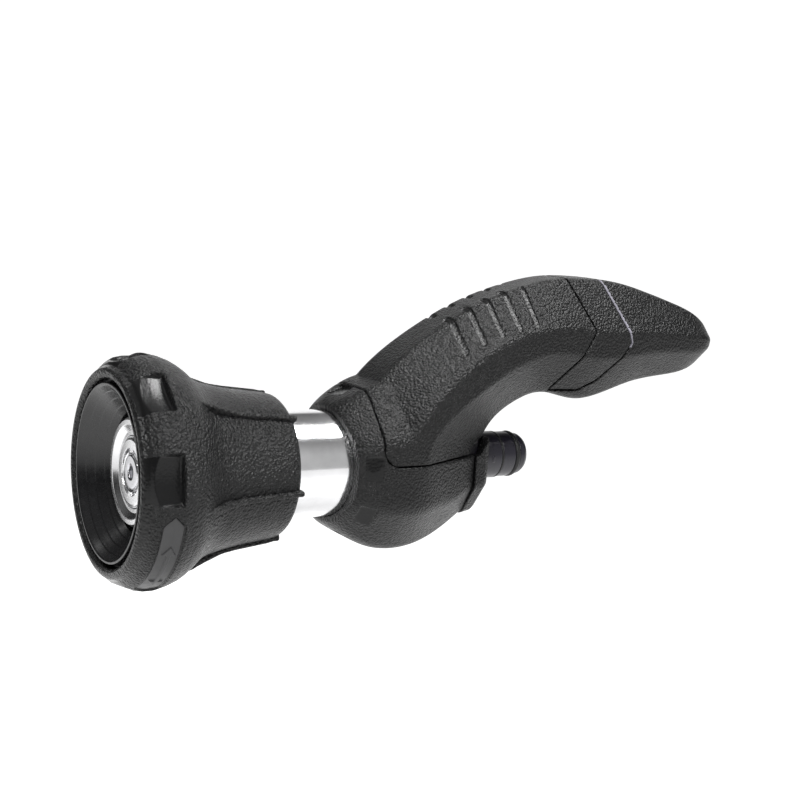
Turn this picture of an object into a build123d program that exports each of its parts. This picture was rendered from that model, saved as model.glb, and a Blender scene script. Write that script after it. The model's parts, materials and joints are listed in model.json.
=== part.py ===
"""Twist-head garden hose nozzle with an arched grip and a quick-connect inlet.

Millimetres. The barrel axis is the X axis: water leaves towards -X and the hose
joins from +X. +Z is up and the grip is symmetric about Y = 0. The origin is on
the barrel axis, at the middle of the inlet nipple's cylindrical land.
"""
import os
from math import cos, pi, sin

from build123d import *

# ---------------------------------------------------------------- dimensions
MOUTH = -157.0            # mouth plane of the spray head

# spray head
RIM_R = 39.3              # largest radius of the rubber rim
LOBES = 8                 # lobes round the rim, one smooth pad between each pair
PAD_W = 15.6              # pad width round the rim
PAD_R = 37.3              # pad depth, as distance from the axis
PAD_LEN = 11.0            # pad length along the axis
FINS = 6                  # lengthwise ribs down the neck of the bell
FIN_W = 2.2               # fin thickness
FIN_PHASE = 40.0          # degrees from the top to the first fin
LABEL_LOBE = 3            # pad position that carries the arrow label
HEAD_LEN = 59.5           # length of the rubber bell
CUP_R = 28.3              # mouth of the inner cup
CORE_BORE = 19.36         # head core bore over the barrel tube
CHAMBER_R = 13.35         # head bore over the fixed spigot
NUT_R = 16.8              # clearance bore of the drive nut

# barrel and spray parts
TUBE_R = 19.06            # bright tube
TUBE_WALL = 2.1
TUBE_FRONT = 50.5
TUBE_REAR = 94.0
SPIGOT_R = 13.0           # fixed spigot inside the head
WATER_R = 10.0            # water way through the barrel
THREAD_R = 16.5           # crest of the drive thread
DISC_X = 8.0              # front face of the deflector behind the mouth
DISC_R = 18.2             # deflector
DISC_T = 6.0
INSERT_R = 11.9           # inner disc
SLOTS = 4                 # curved jet slots
SLOT_R = 7.2              # centre line of the curved jet slots
SLOT_W = 1.3
BOSS_R = 6.0              # head of the centre screw
HEX_AF = 4.0              # hex socket across flats
STEM_R = 4.0              # rod that carries the deflector

# housing, grip and inlet
COLLAR_X = 80.0           # front lip of the collar
LIP_SWEEP = 2.4           # how far the lip sweeps back at the sides
LIP_SWEEP_R = 84.0        # radius of that sweep, seen from the side
SHELL_T = 3.0             # wall of the housing
SHELL_REAR = 136.0        # rear seam of the housing, at the top
SHELL_LEAN = 2.0          # how far that seam leans back over 100 mm of height
SEAM_X = 90.4             # upright part of the seam between housing and cover
SEAM_Z = 3.2              # level part of that seam
SEAM_R = 6.0              # bend between the two
COVER_T = 2.6             # soft cover over the hard grip core
PAD_ANGLES = (-6, 84, 126, 174, 216, 264)    # smooth pads round the collar
CROWN_SLOTS = 5           # grooves down each shoulder of the arch
INLET_R = 8.65            # quick-connect nipple
LAND_START = 154.3        # front end of the land the hose fitting seals on
LAND_END = 159.7          # rear end of that land
NIPPLE_BORE = 5.6
RIB_SPOTS = (106.0, 112.0)                   # webs that carry the water passage
POCKETS = [(120.0, 34.5, 18.0, -38.0), (152.0, 43.5, 24.0, -22.0), (190.0, 46.5, 26.0, 0.0),
           (222.0, 46.5, 20.0, 0.0)]         # core pockets: place, height, length, turn
SCREW_SPOTS = [(134.0, 38.0), (172.0, 48.0), (208.0, 47.0), (236.0, 46.0)]


def at(back):
    """X position of a point this far behind the mouth plane."""
    return MOUTH + back


def ring(points):
    """Solid of revolution about the X axis from (distance behind mouth, radius)."""
    outline = Polyline([(at(a), 0, r) for a, r in points], close=True)
    return revolve(make_face(outline), Axis.X)


def bar_x(back, length, radius):
    """Round bar along X starting this far behind the mouth."""
    return Pos(at(back), 0, 0) * (Plane.YZ * extrude(Circle(radius), length))


def o_ring(back, mid_r, thick):
    """O-ring round the X axis."""
    return Pos(at(back), 0, 0) * (Rot(0, 90, 0) * Torus(mid_r, thick / 2))


def spin(shape, degrees):
    """Turn about the X axis, 0 at the top and positive towards -Y."""
    return Rot(degrees, 0, 0) * shape


def wedge_sector(back, length, r0, r1, start, end):
    """Piece of a tube round the X axis between two angles from the top."""
    span = end - start
    face = Plane.XZ * Pos(at(back) + length / 2, (r0 + r1) / 2) * Rectangle(length, r1 - r0)
    return spin(revolve(face, Axis.X, span), start)


def side_block(points, half_y=60.0):
    """Outline in the XZ plane (distance behind mouth, height) thickened across Y."""
    face = make_face(Polyline([(at(a), 0, z) for a, z in points], close=True))
    return extrude(face, half_y, dir=(0, 1, 0), both=True)


# ---------------------------------------------------------------- spray head
def head_outline():
    """Rubber bell seen in section: outer face, then back along the core."""
    lip = Spline((at(0.2), 0, 31.7), (at(-0.5), 0, 33.2), (at(0.9), 0, 36.4), (at(5.0), 0, RIM_R - 0.3))
    crown = Spline((at(5.0), 0, RIM_R - 0.3), (at(11.0), 0, RIM_R), (at(17.5), 0, RIM_R - 1.4),
                   (at(26.0), 0, 32.6), (at(33.0), 0, 29.0))
    neck = Spline((at(33.0), 0, 29.0), (at(44.0), 0, 27.0), (at(57.0), 0, 25.5))
    tail = Spline((at(57.0), 0, 25.5), (at(59.0), 0, 24.6), (at(HEAD_LEN), 0, 23.2))
    back = Polyline((at(HEAD_LEN), 0, 23.2), (at(HEAD_LEN), 0, 19.9), (at(58.5), 0, 19.9),
                    (at(58.5), 0, 22.6), (at(31.0), 0, 23.6), (at(22.0), 0, 29.0),
                    (at(17.0), 0, 32.8), (at(3.2), 0, 32.8), (at(3.2), 0, 31.7), (at(0.2), 0, 31.7))
    return make_face(lip + crown + neck + tail + back)


def fin():
    """Thin lengthwise rib with a rounded tip past the rear edge."""
    return side_block([(24.0, 24.0), (24.0, 33.2), (29.0, 31.8), (34.0, 30.2), (44.0, 28.4),
                       (60.2, 26.7), (61.2, 25.6), (60.2, 24.0)], FIN_W / 2)


def head_grip():
    """Rubber bell with smooth pads, label recess and fins."""
    bell = revolve(head_outline(), Axis.X)
    core = ring([(3.2, 1), (3.2, 32.8), (17, 32.8), (22, 29), (31, 23.6), (58.5, 22.6), (58.5, 19.9),
                 (70, 19.9), (70, 1)])
    for i in range(FINS):
        bell += spin(fin(), FIN_PHASE + 360 / FINS * i) - core
    for i in range(LOBES):
        if i == LABEL_LOBE:
            continue
        pad = Pos(at(-3 + (PAD_LEN + 3) / 2), 0, PAD_R + 6) * Box(PAD_LEN + 3, PAD_W, 12)
        pad = fillet(pad.edges().filter_by(Axis.Z), 2.0)
        bell -= spin(pad, pad_angle(i))
    return bell - label_sector(0.0)


def pad_angle(i):
    """Angle of a rim pad from the top."""
    return -8.4 + 360 / LOBES * i


def label_sector(gap):
    """Curved strip set into the rim."""
    mid = pad_angle(LABEL_LOBE)
    return wedge_sector(5.5 + gap, 7.0 - 2 * gap, 38.4, 41.0, mid - 30 + gap, mid + 32 - gap)


def twist_label():
    """Arrow strip lying in the rim recess."""
    strip = label_sector(0.15) & ring([(0, 20), (0, 38.9), (30, 38.9), (30, 20)])
    mid = pad_angle(LABEL_LOBE)
    arrow = wedge_sector(7.6, 2.8, 38.6, 39.3, mid - 14, mid + 12)
    tip = extrude(Pos(at(9.0), 0, 30) * Polygon((-3.0, 0), (3.0, 0), (0, -5.0), align=None), 12)
    tip = spin(tip, mid + 12) & ring([(5, 38.6), (5, 39.3), (13, 39.3), (13, 38.6)])
    return strip + arrow + tip


def head_core():
    """Rigid sleeve inside the rubber bell."""
    return ring([(3.4, 32.6), (17, 32.6), (22, 28.8), (31, 23.4), (58.3, 22.4), (58.3, CORE_BORE),
                 (57, CORE_BORE), (57, 21.0), (52, 21.0), (52, CORE_BORE), (33, CORE_BORE),
                 (33, CHAMBER_R), (21.2, CHAMBER_R), (21.2, 22.6), (11.2, 22.6), (3.4, 30.4)])


def spray_cup():
    """Glossy stepped cone lining the mouth."""
    return ring([(0, CUP_R), (0, 30.4), (0.8, 31.5), (3.2, 31.5), (3.2, 30.2), (11, 22.4), (17, 22.4),
                 (17, 19.7), (11.0, 19.7), (8.6, 20.6), (8.2, 21.4), (5.2, 23.8), (4.8, 24.6),
                 (2.0, 26.6), (1.5, 27.4)])


def throat_seat():
    """Hard ring that meets the deflector seal when the nozzle is shut."""
    return ring([(17, 14.2), (17, 22.4), (21.2, 22.4), (21.2, 11.0), (19.4, 11.0)])


def glide_ring():
    """Low-friction ring that travels with the head along the tube without turning."""
    return ring([(52.3, TUBE_R + 0.06), (52.3, 20.7), (56.7, 20.7), (56.7, TUBE_R + 0.06)])


def drive_nut():
    """Internally threaded ring; the thread is shown as a grooved clearance bore."""
    nut = ring([(33.1, NUT_R), (33.1, 19.3), (45, 19.3), (45, NUT_R)])
    for i in range(5):
        a = 34.6 + 2.2 * i
        nut -= ring([(a, NUT_R - 0.2), (a + 0.6, NUT_R + 0.7), (a + 1.2, NUT_R - 0.2)])
    return nut


# ---------------------------------------------------------------- fixed spray parts
def barrel_tube():
    """Bright tube between head and collar."""
    r = TUBE_R
    w = TUBE_WALL
    return ring([(TUBE_FRONT, r - w), (TUBE_FRONT, r - 0.6), (TUBE_FRONT + 0.6, r), (TUBE_REAR, r),
                 (TUBE_REAR, r - w)])


def inner_barrel():
    """Water barrel: spigot, drive thread and the shank carried by the housing."""
    pipe = ring([(26.5, WATER_R), (26.5, SPIGOT_R), (27.4, SPIGOT_R), (27.4, 10.9), (29.8, 10.9),
                 (29.8, SPIGOT_R), (38.5, SPIGOT_R), (38.5, THREAD_R), (50, THREAD_R), (50, 16.9),
                 (60, 16.9), (60, 14.4), (84, 14.4), (84, 16.9), (94, 16.9), (94, 14.4), (102, 14.4),
                 (102, WATER_R)])
    for i in range(5):
        a = 39.4 + 2.15 * i
        pipe -= ring([(a, THREAD_R + 0.2), (a + 0.6, THREAD_R - 0.7), (a + 1.2, THREAD_R + 0.2)])
    return pipe


def spigot_seal():
    """Running seal between the spigot and the head chamber."""
    return o_ring(28.6, 12.15, 2.3)


def spider():
    """Three-armed support that centres the stem in the water way."""
    hub = ring([(30, STEM_R), (30, 6.0), (36, 6.0), (36, STEM_R)])
    for i in range(3):
        arm = Pos(at(33), 0, 7.9) * Box(5.0, 1.8, 4.8)
        hub += spin(arm & bar_x(29, 8, WATER_R), 120 * i)
    rim = ring([(30, 9.2), (30, WATER_R), (36, WATER_R), (36, 9.2)])
    return (hub + rim) - bar_x(20, 30, STEM_R)


def stem():
    """Rod from the spider to the deflector with a shoulder behind it."""
    return ring([(12.4, 0), (12.4, 3.0), (14, 3.0), (14, 6.4), (16.5, 6.4), (18, STEM_R), (36, STEM_R),
                 (36, 5.2), (38.5, 5.2), (38.5, 0)])


def deflector_plate():
    """Machined disc with a bevelled outer ring and a shallow recess."""
    x = DISC_X
    r = DISC_R
    back = x + DISC_T
    return ring([(x + 1.6, 12.1), (x + 1.6, 14.2), (x + 0.9, 15.6), (x, 15.9), (x, r - 0.9),
                 (x + 0.9, r), (x + 3.4, r), (back, r - 2.2), (back, 16.3), (x + 5.0, 16.0),
                 (x + 5.0, 14.6), (back, 14.3), (back, 3.0), (x + 4.4, 3.0), (x + 4.4, 12.1)])


def jet_insert():
    """Bright inner disc with curved jet slots."""
    x = DISC_X
    disc = ring([(x + 1.0, 6.1), (x + 1.0, INSERT_R - 0.4), (x + 1.4, INSERT_R), (x + 4.4, INSERT_R),
                 (x + 4.4, 3.0), (x + 2.9, 3.0), (x + 2.9, 6.1)])
    for i in range(SLOTS):
        start = 360 / SLOTS * i + 14
        disc -= wedge_sector(x, 2.6, SLOT_R - SLOT_W / 2, SLOT_R + SLOT_W / 2, start, start + 62)
    return disc


def deflector_screw():
    """Socket-headed screw on the centre line."""
    x = DISC_X
    head = ring([(x + 0.4, 0), (x + 0.4, BOSS_R - 0.7), (x + 1.1, BOSS_R), (x + 2.9, BOSS_R),
                 (x + 2.9, 2.9), (x + 4.4, 2.9), (x + 4.4, 0)])
    hexagon = RegularPolygon(HEX_AF / 2, 6, major_radius=False)
    socket = Pos(at(x + 0.3), 0, 0) * (Plane.YZ * extrude(hexagon, 2.2))
    return head - socket


def deflector_seal():
    """Soft ring on the back of the deflector."""
    return o_ring(DISC_X + 5.75, 15.3, 1.3)


# ---------------------------------------------------------------- housing and grip
def soft_octagon(back, half_y, half_z, corner):
    """Eight-sided section with rounded corners, flats on the sides, top and foot."""
    r = 1 / cos(pi / 8)
    pts = [(half_y * r * sin(pi / 8 + k * pi / 4), half_z * r * cos(pi / 8 + k * pi / 4)) for k in range(8)]
    face = make_face(Polyline(*pts, close=True))
    face = fillet(face.vertices(), corner)
    return Plane(origin=(at(back), 0, 0), x_dir=(0, 1, 0), z_dir=(1, 0, 0)) * face


def ball(cut):
    """Lower housing form, shrunk by cut on every side."""
    stations = [(COLLAR_X, 20.6, 20.6, 16.0), (84.0, 23.8, 24.0, 13.0), (90.0, 26.0, 27.4, 10.0),
                (97.0, 27.0, 30.2, 9.0), (104.0, 27.0, 31.2, 8.0), (114.0, 24.2, 30.8, 8.0),
                (124.0, 19.8, 28.0, 7.0), (134.0, 15.4, 22.8, 6.0), (141.0, 13.0, 18.0, 5.0)]
    return loft([soft_octagon(a, y - cut, z - cut, c - min(cut, 4) / 2) for a, y, z, c in stations])


def grip_section(front, rear, half_w, crown, foot, lines, cut):
    """Eight-sided grip section between a point on the top line and one on the under line."""
    (xa, za), (xb, zb) = front, rear
    span = ((xb - xa) ** 2 + (zb - za) ** 2) ** 0.5
    down = Vector((xb - xa) / span, 0, (zb - za) / span)
    plane = Plane(origin=(at(xa), 0, za), x_dir=(0, 1, 0), z_dir=Vector(0, 1, 0).cross(down))
    ridge, crease = lines[0] * span, lines[1] * span
    half = [(crown, cut), (half_w, ridge), (half_w, crease), (foot, span - cut)]
    shrink = (cut * 0.5, cut, cut, cut * 0.5)
    half = [(max(y - less, 2.0), d) for (y, d), less in zip(half, shrink)]
    pts = half + [(-y, d) for y, d in reversed(half)]
    sign = 1 if plane.y_dir.dot(down) > 0 else -1
    face = make_face(Polyline(*[(y, sign * d) for y, d in pts], close=True))
    corner = min(4.0, 0.28 * (span - 2 * cut), 0.22 * (half_w - cut))
    return plane * fillet(face.vertices(), corner)


GRIP = [((84.0, -6.0), (138.6, -8.0), 26.8, 9.0, 12.0, (0.22, 0.36)),
        ((88.0, 12.0), (139.4, 2.6), 26.8, 9.0, 11.5, (0.24, 0.40)),
        ((95.0, 28.0), (142.0, 9.2), 26.2, 8.8, 10.5, (0.27, 0.46)),
        ((104.0, 37.6), (145.0, 13.6), 25.2, 8.4, 10.0, (0.29, 0.51)),
        ((120.0, 49.0), (150.4, 18.4), 23.4, 7.8, 9.5, (0.30, 0.55)),
        ((138.0, 58.6), (158.5, 22.6), 21.8, 7.5, 9.0, (0.32, 0.57)),
        ((155.0, 64.6), (166.0, 24.9), 20.8, 7.5, 9.0, (0.35, 0.59)),
        ((172.0, 68.4), (175.0, 24.4), 20.2, 7.5, 9.0, (0.39, 0.61)),
        ((187.0, 69.0), (186.0, 22.2), 19.8, 7.5, 9.0, (0.41, 0.62)),
        ((203.5, 67.8), (200.0, 24.6), 19.2, 7.5, 9.0, (0.42, 0.63)),
        ((219.0, 64.4), (214.0, 28.6), 18.2, 7.0, 8.5, (0.42, 0.63)),
        ((235.0, 60.0), (231.0, 31.0), 16.8, 6.5, 8.0, (0.40, 0.62)),
        ((249.0, 54.6), (246.0, 34.0), 13.6, 5.5, 6.5, (0.38, 0.60)),
        ((255.0, 50.0), (253.5, 39.0), 8.0, 3.6, 4.2, (0.36, 0.58))]


def grip_form(cut, last=None):
    """Arched grip form, shrunk by cut on every side; a shrunk form also stops short of the butt."""
    rows = GRIP[:last] if last else GRIP[:len(GRIP) - (cut > 0.5)]
    return loft([grip_section(f, r, w, c, b, k, cut) for f, r, w, c, b, k in rows])


def above_seam(grow):
    """Region owned by the grip cover: behind and above the housing seam."""
    x, z, r = SEAM_X + grow, SEAM_Z + grow, SEAM_R
    line = Polyline((at(300), 0, z), (at(300), 0, 120), (at(x), 0, 120), (at(x), 0, z + r))
    corner = Plane(origin=(at(x + r), 0, z + r), x_dir=(1, 0, 0), z_dir=(0, -1, 0))
    bend = Edge.make_circle(r, corner, 180, 270)
    foot = Line((at(x + r), 0, z), (at(300), 0, z))
    return extrude(make_face([*line.edges(), bend, *foot.edges()]), 60, dir=(0, 1, 0), both=True)


def behind_band():
    """Region behind the front seam of the middle band."""
    return side_block([(161, 110), (184.5, 50), (171.5, 27.5), (171.5, -20), (300, -20), (300, 110)])


def behind_grip_seam(grow=0.0):
    """Region behind the rear seam of the middle band."""
    g = grow
    return side_block([(177.5 + g, 110), (203 + g, 45.5), (191 + g, 30.5), (184 + g, 26.3 - g),
                       (171.5, 26.3 - g), (171.5, -20), (300, -20), (300, 110)])


def collar_pads():
    """Smooth shallow pads round the collar."""
    pads = None
    for angle in PAD_ANGLES:
        pad = Pos(at(86.4), 0, 27.6) * (Rot(0, -20, 0) * Box(6.4, 9.0, 5.0))
        pads = spin(pad, angle) if pads is None else pads + spin(pad, angle)
    return pads


def behind_shell(gap=0.0):
    """Region behind the leaning rear seam of the housing."""
    top = SHELL_REAR + gap
    return side_block([(top, 50), (top + SHELL_LEAN, -50), (200, -50), (200, 50)])


def lip_sweep():
    """Round saddle cut that sweeps the collar lip back at the sides."""
    disc = Plane.XZ * Pos(at(COLLAR_X + LIP_SWEEP - LIP_SWEEP_R), 0) * Circle(LIP_SWEEP_R)
    return extrude(disc, 60, both=True)


def housing_shell():
    """Lower housing with the flared collar."""
    body = ball(0) - ball(SHELL_T) - above_seam(0)
    body -= behind_shell()
    body -= bar_x(60, 50, TUBE_R)
    nose = ring([(COLLAR_X, TUBE_R), (COLLAR_X, 20.2), (89, 26.2), (94, 26.2), (94, TUBE_R)])
    body += (nose & ball(0)) - above_seam(0)
    body -= collar_pads()
    return body - lip_sweep()


def grip_cover():
    """Soft cover of the arch, from the housing seam to the middle band."""
    form = grip_form(0) + (ball(0) - side_block([(106.0, -60), (106.0, 60), (200, 60), (200, -60)]))
    cover = (form & above_seam(0)) - grip_form(COVER_T) - ball(SHELL_T) - behind_band()
    cover -= bar_x(60, 110, 14.6)
    cover -= bar_x(60, 45, TUBE_R + 1.2)
    for i in range(CROWN_SLOTS):
        cover -= crown_slot(i)
    return max(cover.solids(), key=lambda s: s.volume)


def crown_slot(i):
    """Pair of smooth shallow grooves down both shoulders of the arch, stopping above the ridges."""
    x = 125.6 + 7.7 * i
    low = 36.0 + 3.0 * i
    inner = 3.9 if i < 4 else 6.6
    outer = 18.8
    bar = Rot(0, 0, 90) * SlotOverall(outer - inner + 2.3, 2.4)
    groove = None
    for side in (-1, 1):
        one = Pos(at(x), side * (inner + outer) / 2, low) * extrude(bar, 50)
        groove = one if groove is None else groove + one
    return groove - grip_form(0.8, 10)


def middle_band():
    """Chevron band between the two grip seams."""
    return (grip_form(0) & behind_band()) - behind_grip_seam() - grip_form(COVER_T)


def seam_trim():
    """Thin bright edge strip along the rear seam."""
    strip = (grip_form(0.15) & behind_grip_seam()) - behind_grip_seam(1.1) - grip_form(COVER_T)
    strip &= side_block([(188, 44), (188, 90), (212, 90), (212, 44)])
    return strip


def rear_grip():
    """Soft rear grip with the rounded butt."""
    return (grip_form(0) & behind_grip_seam()) - grip_form(COVER_T) - seam_trim()


def grip_core_half(side):
    """One half of the hard grip core: moulded, with pockets open to the middle plane."""
    half = grip_form(COVER_T) & (Pos(at(180), side * 50, 40) * Box(300, 100, 200))
    half -= side_block([(60, -50), (60, 34), (98, 34), (146, 18), (160, -50)])
    for x, z, length, turn in POCKETS:
        half -= Pos(at(x), side * 6, z) * (Rot(0, turn, 0) * Box(length, 12, 16))
    for x, z in SCREW_SPOTS:
        half -= Pos(at(x), 0, z) * (Rot(90, 0, 0) * Cylinder(1.6, 60))
    return half


def grip_screws():
    """Four identical screws across the grip core."""
    screws = []
    for x, z in SCREW_SPOTS:
        shank = Rot(90, 0, 0) * Cylinder(1.55, 22)
        head = Pos(0, -12.0, 0) * (Rot(90, 0, 0) * Cylinder(1.58, 2.0))
        screws.append(Pos(at(x), 0, z) * (shank + head))
    return Compound(screws)


def inlet_cap():
    """Eight-sided cap closing the back of the housing, below and behind the grip."""
    rows = [(SHELL_REAR + 0.1, 14.9, 21.6, 5.5), (141.6, 14.3, 20.4, 4.5), (143.4, 13.2, 19.0, 3.5)]
    cap = loft([soft_octagon(a, y, z, c) for a, y, z, c in rows], ruled=True)
    cap &= side_block([(130, -40), (130, SEAM_Z - 0.2), (138.9, SEAM_Z - 0.2), (143.5, 9.6), (146, 14),
                       (146, -40)])
    return (cap & behind_shell(0.1)) - bar_x(118, 40, 11.0)


def flow_core():
    """Water passage through the housing, from the nipple to the barrel."""
    return ring([(98, 14.4), (98, 17.2), (104, 17.2), (104, 14.0), (118, 14.0), (122, 12.0), (130.8, 12.0),
                 (130.8, 8.6), (126, 8.6), (116, WATER_R), (102, WATER_R), (102, 14.4)])


def housing_ribs():
    """Ribbed cradle that carries the water passage inside the housing."""
    web = None
    for a in RIB_SPOTS:
        plate = Pos(at(a), 0, 0) * (Plane.YZ * extrude(Circle(40), 2.0))
        web = plate if web is None else web + plate
    web &= ball(SHELL_T)
    return (web - bar_x(90, 60, 14.0)) - above_seam(0)


def hose_nipple():
    """Male quick-connect nipple for the hose fitting."""
    r = INLET_R
    nipple = ring([(131.0, NIPPLE_BORE), (131.0, 10.9), (142.9, 10.9), (143.5, 8.9), (153.2, 8.9),
                   (153.2, 7.7), (LAND_START, 7.7), (LAND_START, r), (LAND_END, r), (LAND_END, 6.7),
                   (162.5, 6.7), (162.5, 7.9), (164.3, 7.9), (165.9, 6.9), (165.9, NIPPLE_BORE)])
    notch = Pos(at(149.0), -8.9, -1.0) * Box(1.6, 1.0, 2.0)
    return nipple - notch


def nipple_ring_main():
    """Large O-ring near the tip."""
    return o_ring(161.1, 7.8, 2.1)


def nipple_ring_thin():
    """Thin ring in the locking groove."""
    return o_ring(153.75, 8.3, 1.06)


def inlet_filter():
    """Perforated disc that keeps grit out of the nozzle."""
    disc = bar_x(164.2, 1.0, NIPPLE_BORE)
    for k in range(6):
        disc -= spin(Pos(0, 0, 3.4) * bar_x(163, 4, 0.8), 60 * k)
    return disc - bar_x(163, 4, 0.8)


NODES = {
    "head_grip": head_grip, "twist_label": twist_label, "head_core": head_core, "spray_cup": spray_cup,
    "throat_seat": throat_seat, "drive_nut": drive_nut, "glide_ring": glide_ring,
    "barrel_tube": barrel_tube, "inner_barrel": inner_barrel, "spigot_seal": spigot_seal, "spider": spider,
    "stem": stem, "deflector_plate": deflector_plate, "jet_insert": jet_insert,
    "deflector_screw": deflector_screw, "deflector_seal": deflector_seal,
    "housing_shell": housing_shell, "inlet_cap": inlet_cap, "flow_core": flow_core,
    "housing_ribs": housing_ribs, "hose_nipple": hose_nipple, "nipple_ring_main": nipple_ring_main,
    "nipple_ring_thin": nipple_ring_thin, "inlet_filter": inlet_filter,
    "grip_cover": grip_cover, "middle_band": middle_band, "seam_trim": seam_trim, "rear_grip": rear_grip,
    "grip_core_left": lambda: grip_core_half(-1), "grip_core_right": lambda: grip_core_half(1),
    "grip_screws": grip_screws,
}

os.makedirs("parts", exist_ok=True)
for name, make in NODES.items():
    export_step(make(), f"parts/{name}.step")
    print("wrote", name)
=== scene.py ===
import json

import bpy
import numpy as np
from mathutils import Matrix


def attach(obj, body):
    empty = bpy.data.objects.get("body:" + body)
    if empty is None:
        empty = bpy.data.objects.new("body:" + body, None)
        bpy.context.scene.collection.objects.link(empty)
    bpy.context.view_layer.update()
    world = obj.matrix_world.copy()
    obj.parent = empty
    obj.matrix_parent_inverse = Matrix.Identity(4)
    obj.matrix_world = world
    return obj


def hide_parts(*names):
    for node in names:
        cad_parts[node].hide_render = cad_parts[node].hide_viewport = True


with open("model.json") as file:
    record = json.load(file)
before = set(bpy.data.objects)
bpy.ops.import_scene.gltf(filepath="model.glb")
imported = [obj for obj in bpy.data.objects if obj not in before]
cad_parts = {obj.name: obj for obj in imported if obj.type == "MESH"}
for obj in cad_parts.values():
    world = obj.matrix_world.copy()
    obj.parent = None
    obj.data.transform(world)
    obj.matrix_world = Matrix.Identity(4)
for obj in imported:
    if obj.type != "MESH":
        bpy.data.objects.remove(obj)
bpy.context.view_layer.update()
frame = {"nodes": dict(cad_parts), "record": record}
nodes = frame["nodes"]

MM = 0.001
MOUTH = 157.0             # distance from the mouth plane back to the origin, mm
FLOOR_HEIGHT = -0.16      # metres


# ---------------------------------------------------------------- meshes
def link_mesh(name, verts, faces, smooth=True):
    """New object from vertices in metres and quad or triangle faces."""
    mesh = bpy.data.meshes.new(name)
    mesh.from_pydata([], [], [])
    mesh.vertices.add(len(verts))
    mesh.vertices.foreach_set("co", np.asarray(verts, np.float32).ravel())
    sizes = faces.shape[1]
    mesh.loops.add(faces.size)
    mesh.loops.foreach_set("vertex_index", faces.astype(np.int32).ravel())
    mesh.polygons.add(len(faces))
    mesh.polygons.foreach_set("loop_start", np.arange(0, faces.size, sizes, dtype=np.int32))
    mesh.polygons.foreach_set("use_smooth", np.full(len(faces), smooth))
    mesh.update(calc_edges=True)
    mesh.validate()
    obj = bpy.data.objects.new(name, mesh)
    bpy.context.scene.collection.objects.link(obj)
    return obj


def grid_faces(rows, cols, wrap_rows, wrap_cols):
    """Quads of a grid, closed round one or both ways."""
    i = np.arange(rows if wrap_rows else rows - 1)[:, None]
    j = np.arange(cols if wrap_cols else cols - 1)[None, :]
    i2, j2 = (i + 1) % rows, (j + 1) % cols
    quads = [i * cols + j, i * cols + j2, i2 * cols + j2, i2 * cols + j]
    return np.stack([q.ravel() for q in quads], 1)


def polar(back, radius, angle):
    """Points in metres from mm behind the mouth, mm from the axis and radians from the top."""
    back, radius, angle = np.broadcast_arrays(back, radius, angle)
    return np.stack([back - MOUTH, -radius * np.sin(angle), radius * np.cos(angle)], -1) * MM


def rounded(points, radius, closed=True, steps=4):
    """Profile with every corner rounded, as points and outward normals."""
    pts = np.array(points, float)
    out, normals = [], []
    count = len(pts)
    for i in range(count):
        here = pts[i]
        if not closed and i in (0, count - 1):
            run = pts[1] - pts[0] if i == 0 else pts[-1] - pts[-2]
            run = run / np.linalg.norm(run)
            out.append(here)
            normals.append((-run[1], run[0]))
            continue
        a, b = pts[i - 1] - here, pts[(i + 1) % count] - here
        la, lb = np.linalg.norm(a), np.linalg.norm(b)
        a, b = a / la, b / lb
        turn = np.arccos(np.clip(np.dot(a, b), -1, 1))
        reach = min(radius / max(np.tan(turn / 2), 1e-3), 0.45 * la, 0.45 * lb)
        n0, n1 = np.array((a[1], -a[0])), np.array((-b[1], b[0]))
        for k in range(steps + 1):
            t = k / steps
            start, end = here + a * reach, here + b * reach
            out.append((1 - t) ** 2 * start + 2 * t * (1 - t) * here + t ** 2 * end)
            mixed = n0 * (1 - t) + n1 * t
            normals.append(mixed / max(np.linalg.norm(mixed), 1e-9))
    return np.array(out), np.array(normals)


def resampled(pts, step, closed=True):
    """Profile points at an even spacing."""
    if closed:
        pts = np.vstack([pts, pts[:1]])
    run = np.concatenate([[0], np.cumsum(np.linalg.norm(np.diff(pts, axis=0), axis=1))])
    count = int(run[-1] / step) + 1
    s = np.linspace(0, run[-1], count + 1)
    if closed:
        s = s[:-1]
    return np.stack([np.interp(s, run, pts[:, k]) for k in range(2)], 1)


def lathe(name, points, radius=0.2, segments=256, step=None, warp=None, closed=True):
    """Turned piece from a profile; a fine step and a warp carve details that aren't round."""
    pts, normals = rounded(points, radius, closed)
    if step:
        pts = resampled(pts, step, closed)
    angle = np.linspace(0, 2 * np.pi, segments, endpoint=False)[None, :]
    back = np.repeat(pts[:, :1], segments, 1)
    reach = np.repeat(pts[:, 1:], segments, 1)
    soft = None
    if warp:
        back, reach, soft = warp(back, reach, angle)
    faces = grid_faces(len(pts), segments, closed, True)
    obj = link_mesh(name, polar(back, reach, angle).reshape(-1, 3), faces)
    if soft is not None:
        set_smooth(obj, soft.ravel())
    if not step:
        nr = normals[:, 1:]
        nx = np.repeat(normals[:, :1], segments, 1)
        n = np.stack([nx, -nr * np.sin(angle), nr * np.cos(angle)], -1).reshape(-1, 3)
        obj.data.normals_split_custom_set_from_vertices(n.tolist())
    return obj


def set_smooth(obj, values):
    """Marks moulded-smooth areas, 0 to 1, for the rubber material."""
    attribute = obj.data.attributes.new("smooth", "FLOAT", "POINT")
    attribute.data.foreach_set("value", np.asarray(values, np.float32))


def merged(name, objs):
    """One object from several meshes."""
    verts, faces, base = [], [], 0
    for o in objs:
        co = np.zeros(len(o.data.vertices) * 3, np.float32)
        o.data.vertices.foreach_get("co", co)
        idx = np.zeros(len(o.data.loops), np.int32)
        o.data.loops.foreach_get("vertex_index", idx)
        verts.append(co.reshape(-1, 3))
        faces.append(idx.reshape(-1, 4) + base)
        base += len(o.data.vertices)
        bpy.data.objects.remove(o)
    return link_mesh(name, np.vstack(verts), np.vstack(faces))


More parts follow.
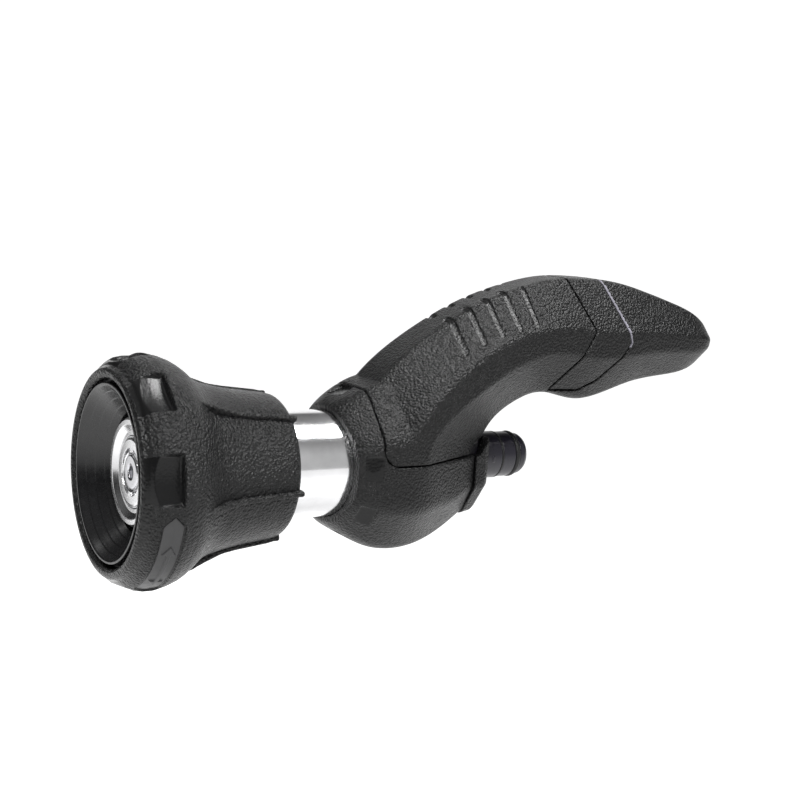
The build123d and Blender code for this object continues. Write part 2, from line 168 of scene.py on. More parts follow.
def step_up(x, low, high):
    """Smooth ramp from 0 at low to 1 at high."""
    t = np.clip((x - low) / (high - low), 0, 1)
    return t * t * (3 - 2 * t)


def turn_from(angle, degrees):
    """Signed difference in degrees between an angle array and a direction."""
    return (np.degrees(angle) - degrees + 180) % 360 - 180


# ---------------------------------------------------------------- spray head
# outside of the rubber bell: distance behind the mouth, radius
RIM = [(3.0, 30.9), (1.0, 31.0), (0.1, 31.4), (-0.5, 32.3), (-0.5, 33.4), (0.0, 34.4), (0.9, 34.9),
       (1.6, 35.3), (2.4, 36.3), (4.0, 37.7), (6.0, 38.7), (9.0, 39.25), (12.5, 39.3), (16.0, 38.5),
       (19.0, 37.4), (21.0, 36.3), (23.2, 34.8), (26.0, 32.4), (29.0, 30.5), (31.8, 29.4), (37.6, 28.0),
       (43.5, 27.0), (49.5, 26.3), (55.6, 25.6), (58.0, 25.1), (59.1, 24.3), (59.5, 23.0), (59.5, 20.7),
       (59.0, 20.0), (57.6, 19.9)]
PADS = [-8.4 + 45.0 * i for i in range(8) if i != 3]    # degrees from the top; the strip takes one place
PAD_HALF = 11.7           # half width of a pad, degrees
PAD_FLOOR = 36.4          # radius at the middle of a pad
LABEL_X = 9.2             # strip centre line behind the mouth
LABEL_START = 97.0        # the strip's ends, degrees from the top
LABEL_END = 160.0
FIN_FIRST = 40.0          # degrees from the top
FIN_COUNT = 6


def label_half_width(degrees):
    """Half width of the strip recess at an angle from the top, mm."""
    return 3.8 * np.minimum(step_up(degrees, LABEL_START, 105.0), 1 - step_up(degrees, 154.0, LABEL_END))


def rim_details(back, reach, angle):
    """Carves the pads and the strip recess into the rubber bell."""
    outer = step_up(reach, 33.5, 35.0) * (back < 30)
    soft = np.zeros_like(reach)
    new = reach.copy()
    for pad in PADS:
        u = turn_from(angle, pad) / PAD_HALF
        mask = (1 - step_up(np.abs(u), 0.95, 1.06)) * (1 - step_up(back, 11.2, 11.9)) * outer
        floor = PAD_FLOOR + 1.4 * u ** 2 - 0.35 * step_up(back, 6.0, 11.2)
        new += mask * np.minimum(floor - new, 0)
        soft = np.maximum(soft, mask)
    degrees = np.degrees(angle) % 360
    half = label_half_width(degrees)
    across = back - LABEL_X
    mask = step_up(across, -half - 0.5, -half + 0.5) * (1 - step_up(across, half - 0.12, half + 0.12))
    mask = mask * (half > 0.3) * outer
    new -= 0.9 * mask
    soft = np.maximum(soft, mask * 0.8)
    lobe = step_up(reach, 35.5, 37.5) * (back < 24)
    soft = np.maximum(soft, (1 - lobe) * (back < 4.0) * 0.45)
    return back, new, soft


def neck_radius(back):
    """Outer radius of the bell at a distance behind the mouth."""
    pts = np.array(RIM[12:25])
    return np.interp(back, pts[:, 0], pts[:, 1])


def head_fin(degrees):
    """Lengthwise rib that starts in the shoulder and ends in a round tip past the rear edge."""
    s = np.linspace(0, 1, 110)
    back = 21.0 + 39.4 * s
    crest = neck_radius(np.minimum(back, 58.0)) + 1.4 * step_up(s, 0.0, 0.18)
    crest += 0.9 * step_up(back, 22.0, 30.0) * (1 - step_up(back, 30.0, 40.0))
    tip = np.sqrt(np.clip(1 - ((back - 59.3) / 1.12) ** 2, 0.003, 1))
    tip[back < 59.3] = 1.0
    half = (0.62 + 0.36 * step_up(s, 0.0, 0.2)) * tip
    t = np.linspace(0, 2 * np.pi, 28, endpoint=False)
    wide = np.sign(np.cos(t)) * np.abs(np.cos(t)) ** 0.55
    tall = np.sign(np.sin(t)) * np.abs(np.sin(t)) ** 0.6
    root = neck_radius(np.minimum(back, 58.0)) - 1.6
    middle, rise = (crest + root) / 2, (crest - root) / 2
    rise = rise * (0.35 + 0.65 * tip)
    y = half[:, None] * wide[None, :]
    r = middle[:, None] + rise[:, None] * tall[None, :]
    angle = np.radians(degrees) + y / r
    verts = polar(back[:, None], r, angle).reshape(-1, 3)
    return link_mesh("fin", verts, grid_faces(len(back), len(t), False, True))


def arrow_height(along, across):
    """Height of a plain two-headed arrow, from its signed distance in mm."""
    length = 11.0
    bar = np.maximum(np.abs(along) - (length - 3.4), np.abs(across) - 0.75)
    from_tip = length - np.abs(along)
    head = np.maximum((np.abs(across) - 0.62 * from_tip) * 0.85, from_tip - 3.8)
    return 1 - step_up(np.minimum(bar, head), -0.22, 0.12)


def arrow_strip():
    """Moulded strip in the rim recess with the arrow raised on it."""
    degrees = np.linspace(LABEL_START + 2.2, LABEL_END - 1.2, 560)
    v = np.linspace(-1, 1, 72)
    half = np.maximum(label_half_width(degrees) - 0.28, 0.05)
    back = LABEL_X + half[:, None] * v[None, :]
    base = np.interp(back, [p[0] for p in RIM[7:18]], [p[1] for p in RIM[7:18]]) - 0.75
    along = np.radians(degrees - 130.5)[:, None] * 39.0
    edge = np.minimum(1 - np.abs(v), 1)[None, :] * half[:, None]
    radius = base - 0.35 * (1 - step_up(edge, 0.0, 0.35)) + 0.5 * arrow_height(along, back - LABEL_X)
    top = polar(back, radius, np.radians(degrees)[:, None])
    low = polar(back[:, ::-1], base[:, ::-1] - 0.5, np.radians(degrees)[:, None])
    verts = np.concatenate([top, low], 1)
    rows, cols = verts.shape[:2]
    return link_mesh("Arrow_strip", verts.reshape(-1, 3), grid_faces(rows, cols, False, True)[:, ::-1])


def spray_head():
    """Rubber bell, its fins, the stepped cone in the mouth and the arrow strip."""
    bell = lathe("Bell", RIM + [(57.6, 22.0), (31.0, 22.9), (22.0, 28.3), (17.0, 32.0), (3.0, 32.0)],
                 radius=0.6, segments=1000, step=0.27, warp=rim_details)
    fins = merged("Bell_fins", [head_fin(FIN_FIRST + 360.0 / FIN_COUNT * k) for k in range(FIN_COUNT)])
    cone = [(0.1, 29.6), (0.1, 28.9), (0.5, 28.5), (2.6, 26.95), (2.8, 26.65), (5.1, 24.75),
            (5.3, 24.45), (7.7, 22.45), (7.9, 22.15), (10.0, 20.5), (12.5, 19.9), (17.0, 19.8),
            (17.0, 22.4), (11.0, 22.4), (3.4, 29.9)]
    cup = lathe("Mouth_cone", cone, radius=0.28, segments=384)
    return bell, fins, cup, arrow_strip()


# ---------------------------------------------------------------- metal in the mouth
JET_RADIUS = 7.3          # centre line of the curved jet slots


def slot_depth(back, reach, angle):
    """Carves the curved jet slots into the front of the inner disc."""
    deep = np.zeros_like(reach)
    for k in range(4):
        off = np.abs(turn_from(angle, 45.0 + 90.0 * k)) - 31.0
        past = np.maximum(np.radians(off) * JET_RADIUS, 0)
        away = np.sqrt((reach - JET_RADIUS) ** 2 + past ** 2)
        deep = np.maximum(deep, 1 - step_up(away, 0.45, 0.7))
    front = (back < 10.5) & (reach > 6.1)
    return back + 1.7 * deep * front, reach, None


def ring_stack(name, rings, segments=240):
    """Closed mesh from rings of (back, radius) where a radius may change round the axis."""
    angle = np.linspace(0, 2 * np.pi, segments, endpoint=False)
    rows = [polar(b, r if np.ndim(r) else np.full(segments, float(r)), angle) for b, r in rings]
    verts = np.array(rows).reshape(-1, 3)
    return link_mesh(name, verts, grid_faces(len(rings), segments, False, True))


def centre_screw():
    """Socket-headed screw: domed edge, hexagonal socket with a countersunk mouth."""
    angle = np.linspace(0, 2 * np.pi, 240, endpoint=False)
    hexagon = 2.0 / np.cos((angle + np.pi / 6) % (np.pi / 3) - np.pi / 6)
    round_in = np.full_like(angle, 2.9)
    rings = [(10.6, hexagon * 0.02), (10.6, hexagon * 0.9), (10.5, hexagon * 0.98), (10.3, hexagon)]
    rings += [(b, hexagon) for b in (10.0, 9.5, 9.0, 8.85, 8.8)]
    rings += [(8.62, hexagon * 0.45 + round_in * 0.45), (8.5, round_in * 0.93), (8.43, round_in)]
    rings += [(8.4, 3.05), (8.4, 3.3), (8.4, 4.4), (8.4, 5.1), (8.43, 5.3), (8.52, 5.55), (8.7, 5.78)]
    rings += [(9.0, 5.93), (9.3, 5.98), (9.8, 6.0), (10.8, 6.0), (10.85, 5.9), (10.9, 3.0), (12.3, 2.9)]
    rings += [(12.3, 0.05)]
    return ring_stack("Centre_screw", rings)


def mouth_metal():
    """Deflector ring, slotted inner disc and centre screw."""
    ring = lathe("Deflector_ring", [(9.5, 12.2), (9.5, 13.6), (8.9, 14.4), (8.05, 15.5), (7.95, 15.8),
                                    (7.95, 17.3), (8.95, 18.15), (11.4, 18.15), (13.9, 16.0), (13.9, 14.6),
                                    (13.9, 3.1), (12.4, 3.1), (12.4, 12.2)], radius=0.14, segments=384)
    profile = [(9.0, 6.15), (8.6, 6.6), (8.5, 8.2), (8.55, 10.6), (8.8, 11.4), (9.3, 11.85),
               (12.3, 11.85), (12.3, 3.1), (11.0, 3.1), (11.0, 6.15)]
    disc = lathe("Jet_disc", profile, radius=0.16, segments=900, step=0.07, warp=slot_depth)
    return ring, disc, centre_screw()


# ---------------------------------------------------------------- barrel and inlet
def torus(name, back, middle, thick, flat=0.0):
    """O-ring, a little flattened on its outside."""
    t = np.linspace(0, 2 * np.pi, 33)[:-1]
    profile = [(back + thick / 2 * np.cos(a), middle + thick / 2 * np.sin(a) * (1 - flat * (np.sin(a) > 0)))
               for a in t[::-1]]
    return lathe(name, profile, radius=0.02, segments=256, step=thick / 12)


def nipple_notches(back, reach, angle):
    """Small moulded notch marks beside the locking groove."""
    mask = np.zeros_like(reach)
    for degrees in (90.0, 270.0):
        along = np.radians(turn_from(angle, degrees)) * 8.7
        away = np.maximum(np.abs(along) - 1.1, np.abs(back - 149.0) - 0.5)
        mask = np.maximum(mask, 1 - step_up(away, -0.15, 0.15))
    return back, reach + 0.35 * mask * (reach > 8.5), None


def barrel_and_inlet():
    """Bright tube, quick-connect nipple and the nipple's two rings."""
    tube = lathe("Barrel_tube", [(50.5, 17.0), (50.5, 18.6), (51.0, 19.06), (94.0, 19.06), (94.0, 17.0)],
                 radius=0.2, segments=384)
    nipple = lathe("Hose_nipple", [(131.2, 5.7), (131.2, 10.7), (142.8, 10.7), (143.4, 8.9), (152.9, 8.95),
                                   (153.2, 8.7), (153.25, 7.8), (154.25, 7.8), (154.3, 8.6), (159.2, 8.65),
                                   (159.7, 8.5), (159.8, 6.8), (162.4, 6.8), (162.5, 7.9), (164.4, 7.85),
                                   (165.8, 7.0), (165.9, 6.3), (165.3, 5.8), (163.0, 5.7)],
                   radius=0.16, segments=480, step=0.16, warp=nipple_notches)
    main = torus("Nipple_seal", 161.1, 7.78, 2.2, 0.03)
    thin = torus("Locking_ring", 153.75, 8.4, 1.12)
    return tube, nipple, main, thin


# ---------------------------------------------------------------- moulded body
def moulded(name, node, voxel=0.45, passes=5):
    """Moulded copy of a CAD solid: even mesh with softened edges."""
    mesh = nodes[node].data.copy()
    mesh.materials.clear()
    obj = bpy.data.objects.new(name, mesh)
    bpy.context.scene.collection.objects.link(obj)
    weld = obj.modifiers.new("weld", "WELD")
    weld.merge_threshold = 1e-6
    remesh = obj.modifiers.new("remesh", "REMESH")
    remesh.mode = "VOXEL"
    remesh.voxel_size = voxel * MM
    remesh.use_smooth_shade = True
    relax = obj.modifiers.new("relax", "SMOOTH")
    relax.factor = 0.5
    relax.iterations = passes
    graph = bpy.context.evaluated_depsgraph_get()
    baked = bpy.data.meshes.new_from_object(obj.evaluated_get(graph))
    obj.modifiers.clear()
    obj.data = baked
    baked.name = name
    return obj


def coords(obj):
    """Vertices in mm: behind the mouth, Y and height."""
    co = np.zeros(len(obj.data.vertices) * 3, np.float32)
    obj.data.vertices.foreach_get("co", co)
    co = co.reshape(-1, 3) / MM
    co[:, 0] += MOUTH
    return co


def store(obj, co):
    """Writes back vertices given in mm behind the mouth, Y and height."""
    co = co.copy()
    co[:, 0] -= MOUTH
    obj.data.vertices.foreach_set("co", (co * MM).astype(np.float32).ravel())
    obj.data.update()


SLOT_FIRST = 125.6        # first groove behind the mouth
SLOT_PITCH = 7.7
SLOT_INNER = (3.9, 3.9, 3.9, 3.9, 6.6)        # where each groove starts from the middle
SLOT_OUTER = 18.8
COLLAR_PADS = (-6, 84, 126, 174, 216, 264)    # degrees from the top
COLLAR_PAD_X = 86.4       # middle of a collar pad behind the mouth
COLLAR_PAD_R = 27.6       # its distance from the axis
COLLAR_PAD_TILT = 20.0    # degrees


def slot_mask(co):
    """1 on the floors of the grooves down both shoulders of the arch."""
    mask = np.zeros(len(co))
    side = np.abs(co[:, 1])
    for i, inner in enumerate(SLOT_INNER):
        past = np.maximum(np.maximum(inner - side, side - SLOT_OUTER), 0)
        away = np.hypot(co[:, 0] - SLOT_FIRST - SLOT_PITCH * i, past)
        mask = np.maximum(mask, (1 - step_up(away, 1.0, 1.35)) * (co[:, 2] > 40))
    return mask


def collar_mask(co):
    """1 on the smooth pads round the collar."""
    mask = np.zeros(len(co))
    tilt = np.radians(COLLAR_PAD_TILT)
    for degrees in COLLAR_PADS:
        a = np.radians(degrees)
        out = -co[:, 1] * np.sin(a) + co[:, 2] * np.cos(a)
        side = -co[:, 1] * np.cos(a) - co[:, 2] * np.sin(a)
        dx, dz = co[:, 0] - COLLAR_PAD_X, out - COLLAR_PAD_R
        along = dx * np.cos(tilt) + dz * np.sin(tilt)
        near = np.maximum(np.abs(along) - 3.2, np.abs(side) - 4.5)
        mask = np.maximum(mask, (1 - step_up(near, -0.5, 0.4)) * (out > 18))
    return mask


# seams seen from the side: distance behind the mouth, height
HOUSING_SEAM = [(90.4, 120), (90.4, 9.2), (92.2, 5.0), (96.4, 3.2), (139.0, 3.2)]
BAND_FRONT = [(161, 110), (184.5, 50), (171.5, 27.5), (171.5, -20)]
BAND_REAR = [(177.5, 110), (203, 45.5), (191, 30.5), (184, 26.3), (171.5, 26.3)]


def eased(obj, *seams, depth=0.24, width=0.7):
    """Eases the edges along seams given as (behind the mouth, height) lines, so that they show."""
    co = coords(obj)
    away = np.full(len(co), 9.0)
    for seam in seams:
        for (x0, z0), (x1, z1) in zip(seam[:-1], seam[1:]):
            dx, dz = x1 - x0, z1 - z0
            t = np.clip(((co[:, 0] - x0) * dx + (co[:, 2] - z0) * dz) / (dx * dx + dz * dz), 0, 1)
            away = np.minimum(away, np.hypot(co[:, 0] - x0 - t * dx, co[:, 2] - z0 - t * dz))
    normals = np.zeros(len(co) * 3, np.float32)
    obj.data.vertices.foreach_get("normal", normals)
    push = depth * (1 - step_up(away, 0.1, width))
    store(obj, co - push[:, None] * normals.reshape(-1, 3))
    return obj


def moulded_body():
    """The five soft mouldings of the housing and grip."""
    shell = moulded("Housing", "housing_shell", 0.36, 3)
    set_smooth(shell, collar_mask(coords(shell)))
    cover = moulded("Arch_cover", "grip_cover", 0.34, 3)
    set_smooth(cover, 0.55 * slot_mask(coords(cover)))
    cap = moulded("Inlet_cap", "inlet_cap", 0.35, 4)
    band = moulded("Chevron_band", "middle_band", 0.4, 4)
    rear = moulded("Rear_grip", "rear_grip", 0.5, 5)
    eased(shell, HOUSING_SEAM)
    eased(cover, HOUSING_SEAM, BAND_FRONT)
    eased(band, BAND_FRONT, BAND_REAR)
    eased(rear, BAND_REAR)
    return shell, cover, cap, band, rear


# ---------------------------------------------------------------- materials
def shader(name):
    """Empty principled material: the tree, its shader and the object coordinates."""
    material = bpy.data.materials.new(name)
    material.use_nodes = True
    tree = material.node_tree
    tree.nodes.clear()
    out = tree.nodes.new("ShaderNodeOutputMaterial")
    surface = tree.nodes.new("ShaderNodeBsdfPrincipled")
    tree.links.new(surface.outputs["BSDF"], out.inputs["Surface"])
    place = tree.nodes.new("ShaderNodeTexCoord").outputs["Object"]
    return material, tree, surface, place


def put(tree, socket, value):
    """Links or sets one input."""
    if isinstance(value, bpy.types.NodeSocket):
        tree.links.new(value, socket)
    else:
        socket.default_value = value


def maths(tree, kind, a, b=0.0, clamp=False):
    """One arithmetic node."""
    n = tree.nodes.new("ShaderNodeMath")
    n.operation = kind
    n.use_clamp = clamp
    put(tree, n.inputs[0], a)
    put(tree, n.inputs[1], b)
    return n.outputs[0]


def noise(tree, place, scale, detail=3.0, roughness=0.55):
    """Noise around 0.5 at a scale per metre."""
    n = tree.nodes.new("ShaderNodeTexNoise")
    put(tree, n.inputs["Vector"], place)
    n.inputs["Scale"].default_value = scale
    n.inputs["Detail"].default_value = detail
    n.inputs["Roughness"].default_value = roughness
    return n.outputs["Fac"]


def cells(tree, place, scale):
    """Distance to the middles of soft-edged cells."""
    n = tree.nodes.new("ShaderNodeTexVoronoi")
    n.feature = "SMOOTH_F1"
    put(tree, n.inputs["Vector"], place)
    n.inputs["Scale"].default_value = scale
    n.inputs["Smoothness"].default_value = 0.35
    return n.outputs["Distance"]


def remap(tree, value, low, high, out_low, out_high):
    """Value moved from one range to another, held at the ends."""
    n = tree.nodes.new("ShaderNodeMapRange")
    put(tree, n.inputs["Value"], value)
    for key, number in (("From Min", low), ("From Max", high), ("To Min", out_low), ("To Max", out_high)):
        put(tree, n.inputs[key], number)
    return n.outputs["Result"]


def tint(tree, value, low, high):
    """Colour between two shades by a 0 to 1 value."""
    ramp = tree.nodes.new("ShaderNodeValToRGB")
    put(tree, ramp.inputs["Fac"], value)
    ramp.color_ramp.elements[0].color = (*low, 1)
    ramp.color_ramp.elements[1].color = (*high, 1)
    return ramp.outputs["Color"]


def bump(tree, height, distance, strength=1.0):
    """Surface relief from a height; the distance is in metres."""
    n = tree.nodes.new("ShaderNodeBump")
    put(tree, n.inputs["Height"], height)
    n.inputs["Distance"].default_value = distance
    put(tree, n.inputs["Strength"], strength)
    return n.outputs["Normal"]


def axis_radius(tree, place):
    """Distance from the barrel axis, metres."""
    n = tree.nodes.new("ShaderNodeSeparateXYZ")
    put(tree, n.inputs[0], place)
    y2 = maths(tree, "MULTIPLY", n.outputs[1], n.outputs[1])
    z2 = maths(tree, "MULTIPLY", n.outputs[2], n.outputs[2])
    return maths(tree, "SQRT", maths(tree, "ADD", y2, z2)), n.outputs[0]


def up_facing(tree):
    """0 to 1, how far the surface faces up."""
    g = tree.nodes.new("ShaderNodeNewGeometry")
    n = tree.nodes.new("ShaderNodeSeparateXYZ")
    put(tree, n.inputs[0], g.outputs["Normal"])
    return maths(tree, "MAXIMUM", n.outputs[2], 0.0)


def rubber(name, shade=0.0052, grain=1.0, rough=0.33, cell=1000.0):
    """Moulded soft rubber: pebbled grain, smooth pads, faint dust and handling wear."""
    material, tree, surface, place = shader(name)
    flag = tree.nodes.new("ShaderNodeAttribute")
    flag.attribute_name = "smooth"
    textured = maths(tree, "SUBTRACT", 1.0, flag.outputs["Fac"], True)
    warp = noise(tree, place, 760.0, 2.0)
    pebble = remap(tree, cells(tree, place, cell), 0.0, 0.75, 1.0, 0.0)
    fine = noise(tree, place, 4200.0, 3.0, 0.6)
    height = maths(tree, "ADD", maths(tree, "MULTIPLY", pebble, 0.75), maths(tree, "MULTIPLY", fine, 0.35))
    height = maths(tree, "ADD", height, maths(tree, "MULTIPLY", warp, 0.7))
    broad = noise(tree, place, 42.0, 4.0)
    patch = noise(tree, place, 170.0, 3.0)
    strength = remap(tree, textured, 0.0, 1.0, 0.06, 0.85 * grain)
    relief = bump(tree, height, 0.00085, strength)
    put(tree, surface.inputs["Normal"], relief)
    dust = maths(tree, "MULTIPLY", up_facing(tree), remap(tree, patch, 0.42, 0.7, 0.0, 0.3), True)
    dust = maths(tree, "ADD", dust, remap(tree, broad, 0.3, 0.7, 0.05, 0.35), True)
    dark = tuple(shade * c for c in (0.86, 0.87, 0.90))
    light = tuple(shade * 1.55 * c for c in (1.0, 1.0, 1.02))
    put(tree, surface.inputs["Base Color"], tint(tree, dust, dark, light))
    worn = remap(tree, broad, 0.3, 0.7, -0.04, 0.05)
    base = remap(tree, textured, 0.0, 1.0, rough - 0.11, rough)
    base = maths(tree, "ADD", base, maths(tree, "MULTIPLY", remap(tree, patch, 0.3, 0.7, -1.0, 1.0), 0.03))
    put(tree, surface.inputs["Roughness"], maths(tree, "ADD", base, worn, True))
    surface.inputs["Specular IOR Level"].default_value = 0.28
    return material


def plastic(name, colour, rough=0.3, wave=0.0, grain=0.3):
    """Hard moulded plastic with flow marks and fine scuffs."""
    material, tree, surface, place = shader(name)
    broad = noise(tree, place, 70.0, 4.0)
    fine = noise(tree, place, 2600.0, 3.0)
    scuff = noise(tree, place, 480.0, 5.0, 0.7)
    height = maths(tree, "ADD", maths(tree, "MULTIPLY", fine, grain), maths(tree, "MULTIPLY", scuff, 0.4))
    if wave:
        radius, _ = axis_radius(tree, place)
        rings = maths(tree, "SINE", maths(tree, "MULTIPLY", radius, 5200.0))
        height = maths(tree, "ADD", height, maths(tree, "MULTIPLY", rings, wave))
    put(tree, surface.inputs["Normal"], bump(tree, height, 0.00005, 0.5))
    dark = tuple(c * 0.8 for c in colour)
    light = tuple(min(c * 1.3, 1) for c in colour)
    put(tree, surface.inputs["Base Color"], tint(tree, remap(tree, broad, 0.3, 0.7, 0.0, 1.0), dark, light))
    put(tree, surface.inputs["Roughness"], remap(tree, scuff, 0.3, 0.7, rough - 0.05, rough + 0.09))
    return material


def metal(name, colour, rough=0.2, turned=0.0, brushed=0.0, smear=0.0):
    """Machined metal: lathe rings, brushing along the axis, and light handling marks."""
    material, tree, surface, place = shader(name)
    radius, along = axis_radius(tree, place)
    broad = noise(tree, place, 90.0, 4.0)
    marks = noise(tree, place, 700.0, 5.0, 0.7)
    height = maths(tree, "MULTIPLY", marks, 0.25)
    if turned:
        rings = maths(tree, "SINE", maths(tree, "MULTIPLY", radius, 16000.0))
        height = maths(tree, "ADD", height, maths(tree, "MULTIPLY", rings, turned))
    if brushed:
        line = tree.nodes.new("ShaderNodeTexNoise")
        line.noise_dimensions = "1D"
        put(tree, line.inputs["W"], along)
        line.inputs["Scale"].default_value = 5200.0
        line.inputs["Detail"].default_value = 4.0
        height = maths(tree, "ADD", height, maths(tree, "MULTIPLY", line.outputs["Fac"], brushed))
    put(tree, surface.inputs["Normal"], bump(tree, height, 0.000012, 0.6))
    dark = tuple(c * 0.88 for c in colour)
    light = tuple(min(c * 1.06, 1) for c in colour)
    put(tree, surface.inputs["Base Color"], tint(tree, remap(tree, broad, 0.3, 0.7, 0.0, 1.0), dark, light))
    surface.inputs["Metallic"].default_value = 1.0
    surface.inputs["Anisotropic"].default_value = smear
    put(tree, surface.inputs["Roughness"], remap(tree, marks, 0.3, 0.7, rough - 0.03, rough + 0.05))
    return material


def dress(obj, material):
    """Gives an object one material."""
    obj.data.materials.clear()
    obj.data.materials.append(material)


# ---------------------------------------------------------------- light, floor and camera
def toward(tree, place, direction):
    """How far a direction points along another one."""
    n = tree.nodes.new("ShaderNodeVectorMath")
    n.operation = "DOT_PRODUCT"
    put(tree, n.inputs[0], place)
    n.inputs[1].default_value = direction
    return n.outputs["Value"]


def studio():
    """Dim room with a white backdrop and a pale wall on the right."""
    world = bpy.data.worlds.new("studio")
    bpy.context.scene.world = world
    world.use_nodes = True
    tree = world.node_tree
    back = tree.nodes["Background"]
    place = tree.nodes.new("ShaderNodeTexCoord").outputs["Generated"]
    split = tree.nodes.new("ShaderNodeSeparateXYZ")
    put(tree, split.inputs[0], place)
    behind = remap(tree, toward(tree, place, (0.533, 0.846, 0.0)), 0.84, 0.92, 0.0, 1.12)
    right = remap(tree, toward(tree, place, (0.62, -0.78, 0.0)), 0.5, 0.9, 0.03, 0.5)
    above = remap(tree, split.outputs[2], 0.3, 0.9, 0.03, 0.3)
    level = maths(tree, "MAXIMUM", maths(tree, "MAXIMUM", behind, right), above)
    put(tree, back.inputs["Strength"], level)
    back.inputs["Color"].default_value = (1, 1, 1, 1)


def floor():
    """Wide pale floor with a faint grain; it glows, and a painted shadow makes it a little darker right
    under the nozzle.
    """
    half_size, cut = 6.0, 60
    line = np.linspace(-half_size, half_size, cut)
    x, y = np.meshgrid(line, line, indexing="ij")
    verts = np.stack([x, y, np.full_like(x, FLOOR_HEIGHT)], -1).reshape(-1, 3)
    obj = link_mesh("Studio_floor", verts, grid_faces(cut, cut, False, False))
    material, tree, surface, place = shader("studio_floor")
    grain = noise(tree, place, 30.0, 3.0)
    put(tree, surface.inputs["Base Color"], tint(tree, grain, (0.55, 0.55, 0.55), (0.60, 0.60, 0.60)))
    put(tree, surface.inputs["Roughness"], remap(tree, grain, 0.3, 0.7, 0.8, 0.9))
    surface.inputs["Emission Color"].default_value = (1, 1, 1, 1)
    # painted shadow: the floor's glow fades from 0.9 down to 0.28 in a soft disc round the point under the
    # nozzle
    split = tree.nodes.new("ShaderNodeSeparateXYZ")
    put(tree, split.inputs[0], place)
    x2 = maths(tree, "POWER", maths(tree, "ADD", split.outputs[0], 0.03), 2.0)
    y2 = maths(tree, "POWER", maths(tree, "ADD", split.outputs[1], 0.05), 2.0)
    reach = maths(tree, "SQRT", maths(tree, "ADD", x2, y2))
    put(tree, surface.inputs["Emission Strength"], remap(tree, reach, 0.04, 0.15, 0.28, 0.9))
    dress(obj, material)


def area_light(name, place, aim, width, height, watts):
    """Rectangular softbox turned towards a point."""
    data = bpy.data.lights.new(name, "AREA")
    data.shape = "RECTANGLE"
    data.size, data.size_y = width, height
    data.energy = watts
    obj = bpy.data.objects.new(name, data)
    bpy.context.scene.collection.objects.link(obj)
    forward = np.array(aim, float) - np.array(place, float)
    forward /= np.linalg.norm(forward)
    side = np.cross(forward, (0, 0, 1) if abs(forward[2]) < 0.95 else (0, 1, 0))
    side /= np.linalg.norm(side)
    up = np.cross(side, forward)
    frame_axes = Matrix((side, up, -forward)).transposed().to_4x4()
    frame_axes.translation = place
    obj.matrix_world = frame_axes
    return obj


CAMERA_PLACE = (-0.3116, -0.4213, 0.1008)
CAMERA_FORWARD = (0.5267, 0.8355, -0.1564)
CAMERA_RIGHT = (0.8498, -0.5220, 0.0731)


def camera():
    """Eye level a little above the barrel, from the front left."""
    data = bpy.data.cameras.new("Camera")
    data.lens, data.sensor_width = 62.1, 36.0
    obj = bpy.data.objects.new("Camera", data)
    bpy.context.scene.collection.objects.link(obj)
    forward = np.array(CAMERA_FORWARD)
    right = np.array(CAMERA_RIGHT)
    forward /= np.linalg.norm(forward)
    right -= forward * right.dot(forward)
    right /= np.linalg.norm(right)
    up = np.cross(right, forward)
    axes = Matrix((right, up, -forward)).transposed().to_4x4()
    axes.translation = CAMERA_PLACE
    obj.matrix_world = axes
    bpy.context.scene.camera = obj


# ---------------------------------------------------------------- the scene
RUBBER = rubber("soft_rubber")
RUBBER_BODY = rubber("soft_rubber_body", 0.0040, 0.8, 0.33, 1050.0)
HARD = plastic("hard_core", (0.03, 0.03, 0.032), 0.42)
LABEL = plastic("arrow_strip", (0.02, 0.02, 0.021), 0.38)
GLOSS = plastic("gloss_black", (0.006, 0.006, 0.0065), 0.24, 0.1, 0.1)
PURPLE = plastic("purple_plastic", (0.008, 0.007, 0.013), 0.3)
TRIM = plastic("trim_grey", (0.16, 0.155, 0.18), 0.35)
POLISHED = metal("bright_aluminium", (0.86, 0.86, 0.87), 0.13, 0.0, 0.5, 0.3)
TURNED = metal("turned_aluminium", (0.80, 0.80, 0.81), 0.2, 0.5, 0.0, 0.35)
STEEL = metal("steel", (0.62, 0.62, 0.64), 0.2, 0.2)
BRASS = metal("brass", (0.72, 0.52, 0.24), 0.25, 0.3)
SEAL = rubber("seal_rubber", 0.012, 0.25, 0.4, 2200.0)


def place_piece(obj, body, slot, material, *stands_for):
    """Finish, riding body and the CAD nodes a visual piece stands for."""
    dress(obj, material)
    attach(obj, body)
    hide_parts(*stands_for)


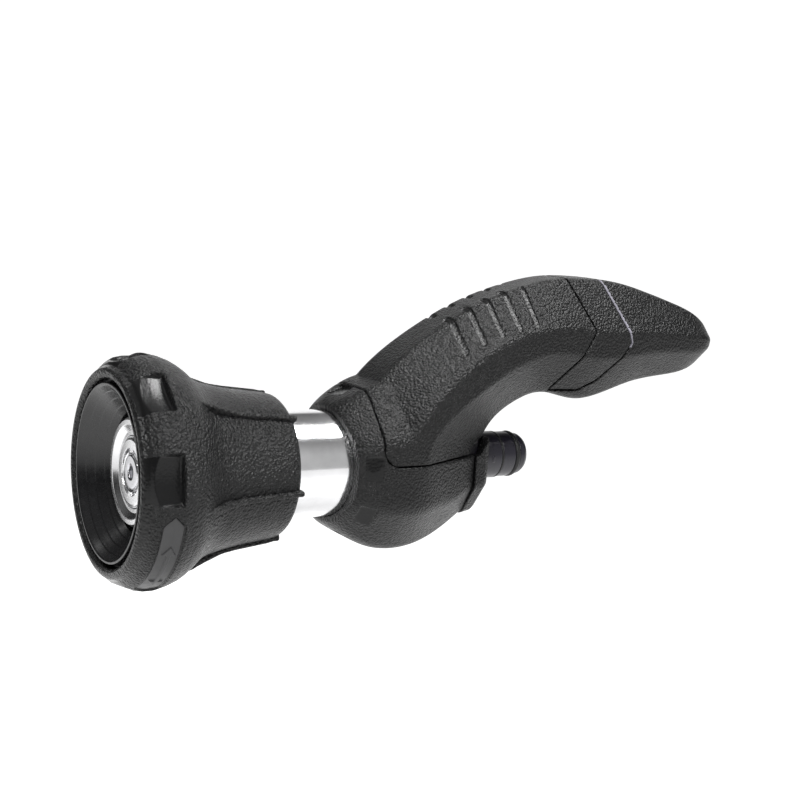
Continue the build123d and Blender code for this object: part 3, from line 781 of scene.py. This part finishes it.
bell, fins, cup, strip = spray_head()
place_piece(bell, "spray_head", "soft_rubber", RUBBER, "head_grip")
place_piece(fins, "spray_head", "soft_rubber", RUBBER, "head_grip")
place_piece(cup, "spray_head", "gloss_black", GLOSS, "spray_cup")
place_piece(strip, "spray_head", "hard_core", LABEL, "twist_label")

ring, disc, screw = mouth_metal()
place_piece(ring, "nozzle_base", "turned_aluminium", TURNED, "deflector_plate")
place_piece(disc, "nozzle_base", "turned_aluminium", TURNED, "jet_insert")
place_piece(screw, "nozzle_base", "steel", STEEL, "deflector_screw")

tube, nipple, seal_main, seal_thin = barrel_and_inlet()
place_piece(tube, "nozzle_base", "bright_aluminium", POLISHED, "barrel_tube")
place_piece(nipple, "nozzle_base", "purple_plastic", PURPLE, "hose_nipple")
place_piece(seal_main, "nozzle_base", "seal_rubber", SEAL, "nipple_ring_main")
place_piece(seal_thin, "nozzle_base", "seal_rubber", SEAL, "nipple_ring_thin")

shell, cover, cap, band, rear = moulded_body()
place_piece(shell, "nozzle_base", "soft_rubber", RUBBER_BODY, "housing_shell")
place_piece(cover, "nozzle_base", "soft_rubber", RUBBER_BODY, "grip_cover")
place_piece(cap, "nozzle_base", "soft_rubber", RUBBER_BODY, "inlet_cap")
place_piece(band, "nozzle_base", "soft_rubber", RUBBER_BODY, "middle_band")
place_piece(rear, "nozzle_base", "soft_rubber", RUBBER_BODY, "rear_grip")

FINISH = {"hard_core": HARD, "brass": BRASS, "steel": STEEL, "seal_rubber": SEAL, "trim_grey": TRIM,
          "soft_rubber": RUBBER_BODY, "gloss_black": GLOSS, "turned_aluminium": TURNED,
          "bright_aluminium": POLISHED, "purple_plastic": PURPLE}
for entry in frame["record"]["subparts"]:
    node = nodes[entry["node"]]
    if not node.hide_render:
        dress(node, FINISH[entry["material_slot"]])

studio()
floor()
area_light("Rear_softbox", (0.105, -0.05, 0.35), (0.02, -0.02, 0.05), 0.19, 0.17, 1.9)
area_light("Left_softbox", (-0.235, -0.22, 0.34), (-0.15, -0.03, 0.0), 0.11, 0.22, 2.2)
area_light("Back_softbox", (-0.24, 0.32, 0.36), (-0.14, 0.0, 0.02), 0.24, 0.16, 0.3)
camera()
bpy.context.scene.view_settings.view_transform = "Standard"
